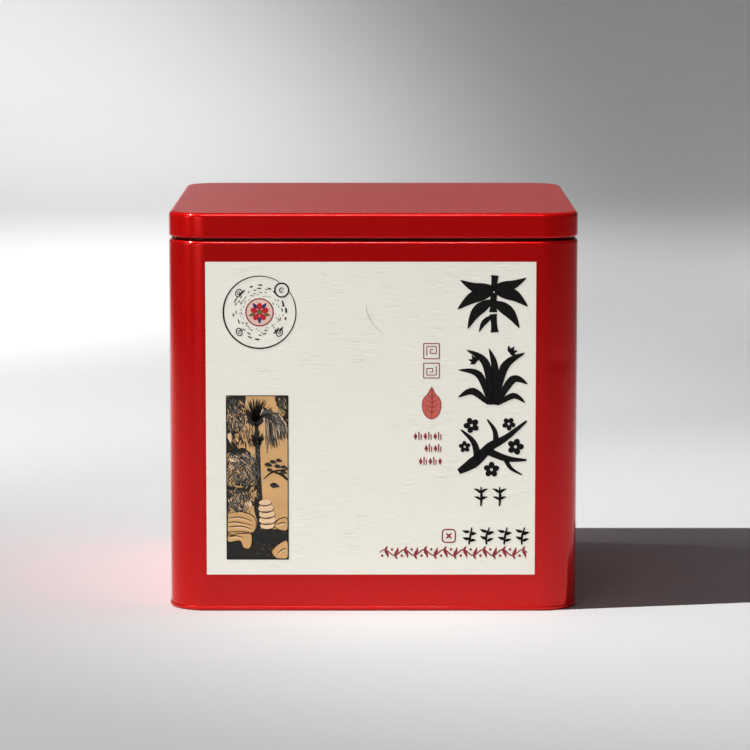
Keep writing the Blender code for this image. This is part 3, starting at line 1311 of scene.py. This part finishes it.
@dataclass
class Landscape:
    """The tall picture: a palm over rocks, a stack of pale stones and dark water.

    Places in it are (across, down) in millimetres from its upper left corner.
    """

    films: dict[InkTone, InkFilm]
    chance: random.Random
    left: float = -38.7
    right: float = -22.2
    top: float = 6.3
    foot: float = -38.1

    def at(self, across: float, down: float) -> Point:
        """Give the place on the label of a place in the picture, kept inside its frame."""
        wide, tall = self.right - self.left, self.top - self.foot
        return (self.left + max(0.1, min(wide - 0.1, across)), self.top - max(0.1, min(tall - 0.1, down)))

    def line(self, tone: InkTone, points: Iterable[Point], widths: Sequence[float]) -> None:
        """Draw one stroke through places in the picture, with widths from its start to its end."""
        path = [self.at(*point) for point in smooth_path(list(points), 4)]
        self.films[tone].stroke(path, widths, 1)

    def shape(self, tone: InkTone, points: Sequence[Point], ragged: float) -> None:
        """Fill one outline in the picture.

        Args:
            tone: its ink.
            points: places in the picture.
            ragged: how far its outline strays.
        """
        strayed = []
        for across, down in smooth_path(list(points), 4, closed=True):
            across += self.chance.uniform(-ragged, ragged)
            strayed.append(self.at(across, down + self.chance.uniform(-ragged, ragged)))
        self.films[tone].patch(strayed, 1)

    def hatch(self, tone: InkTone, middle: Point, reach: Point, count: int, size: float, lean: float) -> None:
        """Scatter short curved strokes over a part of the picture.

        Args:
            tone: their ink.
            middle: the part's middle.
            reach: how far they scatter across and down.
            count: how many.
            size: the longest stroke.
            lean: their slant, as a share of their length.
        """
        for _ in range(count):
            start = tuple(place + self.chance.uniform(-away, away) for place, away in zip(middle, reach))
            length = size * self.chance.uniform(0.4, 1.0)
            slant = length * (lean + self.chance.uniform(-0.5, 0.5))
            widths = [0.06, self.chance.uniform(0.14, 0.30), 0.04]
            self.line(tone, moved(((0, 0), (slant * 0.7, length * 0.45), (slant, length)), start), widths)

    def ground(self) -> None:
        """Lay the ochre ground and the dark frame line."""
        corners = [(self.left, self.top), (self.right, self.top), (self.right, self.foot), (self.left, self.foot)]
        self.films[InkTone.OCHRE].patch(corners, 1)
        self.films[InkTone.BLACK].box((self.left, self.foot), (self.right, self.top), 0.24)

    def water(self) -> None:
        """Fill the dark water along the foot."""
        corners = ((0.1, 36.2), (16.4, 36.2), (16.4, 44.3), (0.1, 44.3))
        self.films[InkTone.CHARCOAL].patch([self.at(*corner) for corner in corners], 1)
        self.hatch(InkTone.GREY, (9.6, 41.5), (2.0, 1.8), 10, 0.4, 1.4)

    def foliage(self) -> None:
        """Fill the dark leaves down the left side, in ragged bands under light and grey strokes."""
        bands = (
            ((0.1, 0.1), (5.0, 0.1), (4.8, 2.8), (5.2, 5.6), (4.4, 8.6), (2.6, 10.4), (0.1, 10.0)),
            ((13.2, 0.1), (16.4, 0.1), (16.4, 6.4), (14.6, 4.4), (13.6, 2.4)),
            ((0.1, 11.0), (1.6, 12.0), (2.0, 14.6), (4.6, 14.0), (6.6, 16.0), (8.2, 18.6), (8.0, 23.6),
             (5.6, 24.8), (2.4, 24.2), (0.1, 25.0)),
            ((0.1, 25.2), (4.4, 24.9), (8.6, 23.8), (8.9, 28.4), (7.4, 29.6), (7.0, 27.0), (5.2, 27.8),
             (4.2, 31.6), (0.1, 31.6)),
        )
        for band in bands:
            self.shape(InkTone.CHARCOAL, band, 0.22)
        tufts = (
            (InkTone.CHARCOAL, (2.6, 12.5), (2.5, 2.6), 60, 2.0, 0.1),
            (InkTone.CHARCOAL, (6.0, 10.0), (1.0, 3.6), 26, 2.4, 0.0),
            (InkTone.TAN, (2.4, 5.2), (2.2, 4.2), 60, 1.5, 0.3),
            (InkTone.TAN, (4.0, 20.0), (3.8, 4.6), 120, 1.6, -0.5),
            (InkTone.TAN, (3.6, 28.2), (3.4, 2.8), 70, 1.5, 0.3),
            (InkTone.TAN, (15.0, 2.6), (1.2, 2.2), 16, 1.2, 0.2),
            (InkTone.GREY, (2.4, 5.0), (2.2, 4.4), 90, 1.7, 0.2),
            (InkTone.SAND, (2.8, 6.6), (2.4, 2.6), 26, 1.1, 0.1),
            (InkTone.GREY, (3.8, 19.4), (3.8, 4.2), 150, 1.8, 0.7),
            (InkTone.SAND, (3.4, 18.6), (3.2, 3.6), 36, 1.2, 0.9),
            (InkTone.GREY, (3.0, 28.0), (2.8, 2.8), 80, 1.6, 0.4),
            (InkTone.SAND, (2.6, 28.6), (2.4, 2.4), 24, 1.0, 0.2),
            (InkTone.GREY, (15.0, 2.4), (1.2, 2.0), 24, 1.4, 0.1),
        )
        for tuft in tufts:
            self.hatch(*tuft)
        corners = ((-1.0, 0.0), (-0.4, -0.5), (0.7, -0.4), (1.0, 0.2), (0.3, 0.5))
        for across, down, wide, tall in ((0.9, 11.4, 0.5, 2.6), (1.6, 17.4, 1.3, 1.0), (5.8, 29.4, 0.9, 1.7)):
            rock = [(across + wide * right, down + tall * low) for right, low in corners]
            self.shape(InkTone.SAND, rock, 0.10)

    def palm(self) -> None:
        """Draw the palm's two spiky crowns, its trunk and the long fronds that hang to the right."""
        self.line(InkTone.CHARCOAL, ((8.0, 7.0), (8.3, 14.0), (8.6, 21.0), (8.8, 28.6)), [0.9, 1.3, 1.1, 1.7])
        self.hatch(InkTone.GREY, (8.4, 20.0), (0.3, 8.0), 40, 0.7, 0.3)
        for centre, reach, count in (((7.8, 7.0), 6.6, 90), ((8.2, 13.2), 3.8, 60)):
            for _ in range(count):
                angle = radians(self.chance.uniform(28, 152))
                length = reach * self.chance.uniform(0.5, 1.05)
                tip = (centre[0] + length * 0.8 * cos(angle), centre[1] - length * sin(angle))
                self.line(InkTone.CHARCOAL, (centre, tip), [0.60, 0.26, 0.07])
            middle = (centre[0], centre[1] - reach * 0.14)
            knot = [polar(middle, reach * 0.34, k * 40) for k in range(9)]
            self.shape(InkTone.CHARCOAL, knot, reach * 0.05)
        fronds = 160
        for index in range(fronds):
            swing = index / (fronds - 1)
            stray = self.chance.uniform(-1.1, 1.1)
            knee = (10.4 + 4.4 * swing + stray * 0.4, 4.8 + 2.0 * swing + self.chance.uniform(-1.5, 1.5))
            tip = (11.3 + 5.2 * swing + stray, 15.0 - 4.6 * swing + self.chance.uniform(-3.2, 1.0))
            tone = InkTone.GREY if index % 5 == 0 else InkTone.CHARCOAL
            if index % 9 == 0:
                tone = InkTone.SAND
            self.line(tone, ((9.2, 5.4), knee, tip), [0.32, 0.28, 0.06])

    def sprigs(self) -> None:
        """Draw the leafy branches over the open ochre on the right."""
        self.line(InkTone.CHARCOAL, ((9.9, 22.6), (12.4, 20.6), (16.3, 20.0)), [0.2, 0.55, 0.4])
        self.line(InkTone.CHARCOAL, ((12.4, 20.6), (14.8, 21.4), (16.3, 22.8)), [0.3, 0.8, 0.6])
        leaves = ((10.2, 18.6, 2.2), (11.6, 17.8, 1.9), (13.2, 17.4, 1.8), (12.8, 19.0, 2.0), (10.8, 20.0, 1.8),
                  (14.6, 19.2, 1.8), (14.4, 20.6, 1.9), (11.6, 24.2, 2.6))
        film = self.films[InkTone.CHARCOAL]
        for across, down, size in leaves:
            film.leaf(self.at(across, down), self.at(across + size, down + 0.5), size * 0.55, 0.06)
            self.line(InkTone.GREY, ((across + 0.3, down + 0.1), (across + size * 0.8, down + 0.4)), [0.10])

    def rocks(self) -> None:
        """Draw the layered rocks round the water and the stack of pale stones."""
        banks = (
            ((0.3, 31.9), (3.4, 31.4), (6.4, 32.2), (7.8, 33.8), (7.6, 36.2), (6.6, 37.2), (3.0, 37.4),
             (0.3, 37.6)),
            ((0.3, 37.0), (3.4, 36.8), (6.4, 37.4), (6.7, 39.6), (6.0, 41.4), (4.4, 41.2), (3.4, 39.4),
             (0.3, 39.7)),
            ((12.6, 35.6), (13.8, 33.6), (16.2, 33.2), (16.3, 36.2), (14.8, 36.6)),
            ((12.0, 42.4), (13.4, 40.6), (16.2, 39.4), (16.3, 44.0), (13.4, 44.2)),
        )
        for bank in banks:
            self.shape(InkTone.TAN, bank, 0.05)
            self.line(InkTone.BLACK, (*bank, bank[0]), [0.14, 0.26, 0.12, 0.24, 0.14])
        layers = (
            ((0.3, 33.2), (3.4, 32.9), (6.9, 34.0)), ((0.3, 34.4), (3.0, 34.3), (7.2, 35.3)),
            ((0.4, 35.6), (4.0, 35.4), (6.6, 36.2)), ((0.4, 38.3), (2.6, 38.0), (4.6, 38.6)),
            ((13.4, 35.0), (14.8, 34.4), (16.1, 34.6)), ((13.6, 42.9), (14.8, 41.8), (16.1, 41.4)),
        )
        for path in layers:
            self.line(InkTone.BLACK, path, [0.10, 0.30, 0.22, 0.08])
            self.line(InkTone.SAND, moved(path, (0, 0.4)), [0.06, 0.34, 0.20, 0.06])
        self.line(InkTone.CHARCOAL, ((8.2, 28.0), (8.0, 31.0), (8.6, 34.0), (8.4, 36.4)), [1.6, 1.3, 1.0, 1.2])
        stack = ((10.3, 29.0, 1.7), (10.5, 30.6, 2.1), (10.8, 32.2, 2.2), (10.9, 33.8, 2.3), (10.9, 35.3, 2.0))
        for across, down, reach in stack:
            place = self.at(across, down)
            self.films[InkTone.SAND].disc(place, reach, 0.50, 3, 20)
            self.films[InkTone.BLACK].ring(place, reach, 0.26, 170, 365, 0.50, 3)
            self.hatch(InkTone.MAROON, (across, down - 0.2), (reach * 0.6, 0.3), 3, 0.3, 2.5)

    def draw(self) -> None:
        """Draw the whole picture."""
        for part in (self.ground, self.foliage, self.palm, self.sprigs, self.water, self.rocks):
            part()


# --------------------------------------------------------------------------- studio


def lit_pieces(group: str) -> bpy.types.Collection:
    """Give the collection of the pieces that share lamps of their own, made at its first use."""
    name = f"{group}_pieces"
    return bpy.data.collections.get(name) or bpy.data.collections.new(name)


class LampKind(Enum):
    """Kinds of lamp in the studio."""

    SPOT = "SPOT"
    AREA = "AREA"


@dataclass(frozen=True)
class Lamp:
    """One lamp: its place, what it points at, its power and its size, and which pieces alone it lights."""

    name: str
    kind: LampKind
    place: tuple[float, float, float]
    target: tuple[float, float, float]
    watts: float
    size: tuple[float, float]
    cone_degrees: float = 45.0
    cone_blend: float = 1.0
    lights: str = ""

    def build(self) -> None:
        """Hang the lamp."""
        data = bpy.data.lights.new(self.name, self.kind.value)
        data.energy = self.watts
        if self.kind is LampKind.SPOT:
            data.spot_size = radians(self.cone_degrees)
            data.spot_blend = self.cone_blend
            data.shadow_soft_size = self.size[0]
        else:
            data.shape = "RECTANGLE"
            data.size, data.size_y = self.size
        lamp = bpy.data.objects.new(self.name, data)
        lamp.location = self.place
        lamp.rotation_euler = (Vector(self.target) - Vector(self.place)).to_track_quat("-Z", "Y").to_euler()
        lamp.visible_camera = False
        bpy.context.scene.collection.objects.link(lamp)
        if self.lights:
            lamp.light_linking.receiver_collection = lit_pieces(self.lights)


SPOT, AREA = LampKind.SPOT, LampKind.AREA
LAMPS = (
    Lamp("key", SPOT, (-0.97, -0.26, 1.61), (0.21, 0.02, 0.0), 66.0, (0.012, 0.012), 19.0),
    Lamp("key_wide", SPOT, (-0.97, -0.26, 1.61), (0.30, 0.16, 0.0), 94.0, (0.012, 0.012), 62.0),
    Lamp("front_low", AREA, (-0.7, -1.6, 0.20), (0.0, 0.0, 0.05), 2.6, (0.6, 0.25)),
    Lamp("left_soft", AREA, (-1.05, -0.66, 0.30), (0.0, 0.0, 0.05), 1.5, (0.35, 0.5), lights="metal"),
    Lamp("overhead", AREA, (-0.08, -0.50, 1.05), (0.0, 0.0, 0.10), 4.8, (0.30, 0.14), lights="metal"),
    Lamp("label_light", AREA, (-1.0, -0.7, 0.45), (0.0, 0.0, 0.05), 12.8, (0.3, 0.3), lights="label"),
    Lamp("wash", SPOT, (0.15, -0.60, 1.1), (-0.43, 1.28, 0.0), 252.0, (0.1, 0.1), 30.5, 0.8),
    Lamp("wash_near", SPOT, (-1.1, 0.3, 1.2), (-0.22, 0.39, 0.0), 60.0, (0.1, 0.1), 29.5, 0.9),
    Lamp("wall_fill", SPOT, (0.7, 0.6, 0.8), (0.135, 1.18, 0.0), 19.0, (0.1, 0.1), 78.0),
)


@dataclass
class Studio:
    """Floor, lamps and camera round the tin."""

    plan: TinPlan
    lens_mm: float = 175.0
    distance_widths: float = 8.80
    height_widths: float = 1.71
    shift_x_widths: float = 0.004
    pitch_degrees: float = 7.30
    world_colour: Colour = (0.056, 0.056, 0.058)
    floor_edge: float = 5.0
    sweep_start: float = 1.3
    sweep_radius: float = 0.7
    sweep_height: float = 2.4

    def camera(self) -> None:
        """Set up the camera in front of the tin, a little above its lid."""
        data = bpy.data.cameras.new("camera")
        data.lens, data.sensor_width, data.clip_end = self.lens_mm, 36.0, 30.0
        camera = bpy.data.objects.new("camera", data)
        width = 2 * self.plan.half
        place = (self.shift_x_widths, -0.5 - self.distance_widths, self.height_widths)
        camera.location = Vector(place) * width
        camera.rotation_euler = (radians(90 - self.pitch_degrees), 0, 0)
        bpy.context.scene.collection.objects.link(camera)
        bpy.context.scene.camera = camera

    def world(self) -> None:
        """Surround the tin with even grey light."""
        world = bpy.data.worlds.new("world")
        world.use_nodes = True
        world.node_tree.nodes["Background"].inputs["Color"].default_value = (*self.world_colour, 1.0)
        bpy.context.scene.world = world

    def floor(self) -> None:
        """Lay the pale floor, which sweeps up into a backdrop far behind the tin."""
        turn = self.sweep_radius * pi / 2
        length = self.floor_edge + self.sweep_start + turn + self.sweep_height
        mesh = bmesh.new()
        bmesh.ops.create_grid(mesh, x_segments=2, y_segments=160, size=0.5)
        for vert in mesh.verts:
            run = (vert.co.y + 0.5) * length - self.floor_edge - self.sweep_start
            angle = max(0.0, min(pi / 2, run / self.sweep_radius))
            rise = max(0.0, run - turn)
            vert.co.x *= 2 * self.floor_edge
            vert.co.y = self.sweep_start + min(0.0, run) + self.sweep_radius * sin(angle)
            vert.co.z = self.sweep_radius * (1 - cos(angle)) + rise
        sweep = object_from(mesh, "floor", PaleFloor("pale_floor").material())
        sweep.data.shade_smooth()

    def build(self) -> None:
        """Set up the whole studio."""
        bpy.context.scene.view_settings.view_transform = "Standard"
        self.camera()
        for lamp in LAMPS:
            lamp.build()
        self.world()
        self.floor()


def report(piece: bpy.types.Object, group: str) -> None:
    """Log one finished piece and put it under the lamps of its group, "metal" or "label"."""
    lit_pieces(group).objects.link(piece)
    LOG.info("%s: %d faces, lit as %s", piece.name, len(piece.data.polygons), group)


def main() -> None:
    """Build the tin and its studio."""
    logging.basicConfig(level=logging.INFO, format="%(message)s")
    EffectLibrary()
    plan = TinPlan.from_frame()
    press = SheetPress(plan, BareTinplate("bare_tinplate").material())
    body = TinBody(plan)
    label = PaperLabel(plan, body)
    for part in (body, TinBase(plan), TinLid(plan)):
        report(part.build(press), "metal")
    report(label.build(), "label")
    for film in LabelPrint(label).build():
        report(film, "label")
    Studio(plan).build()


if __name__ == "__main__":
    main()
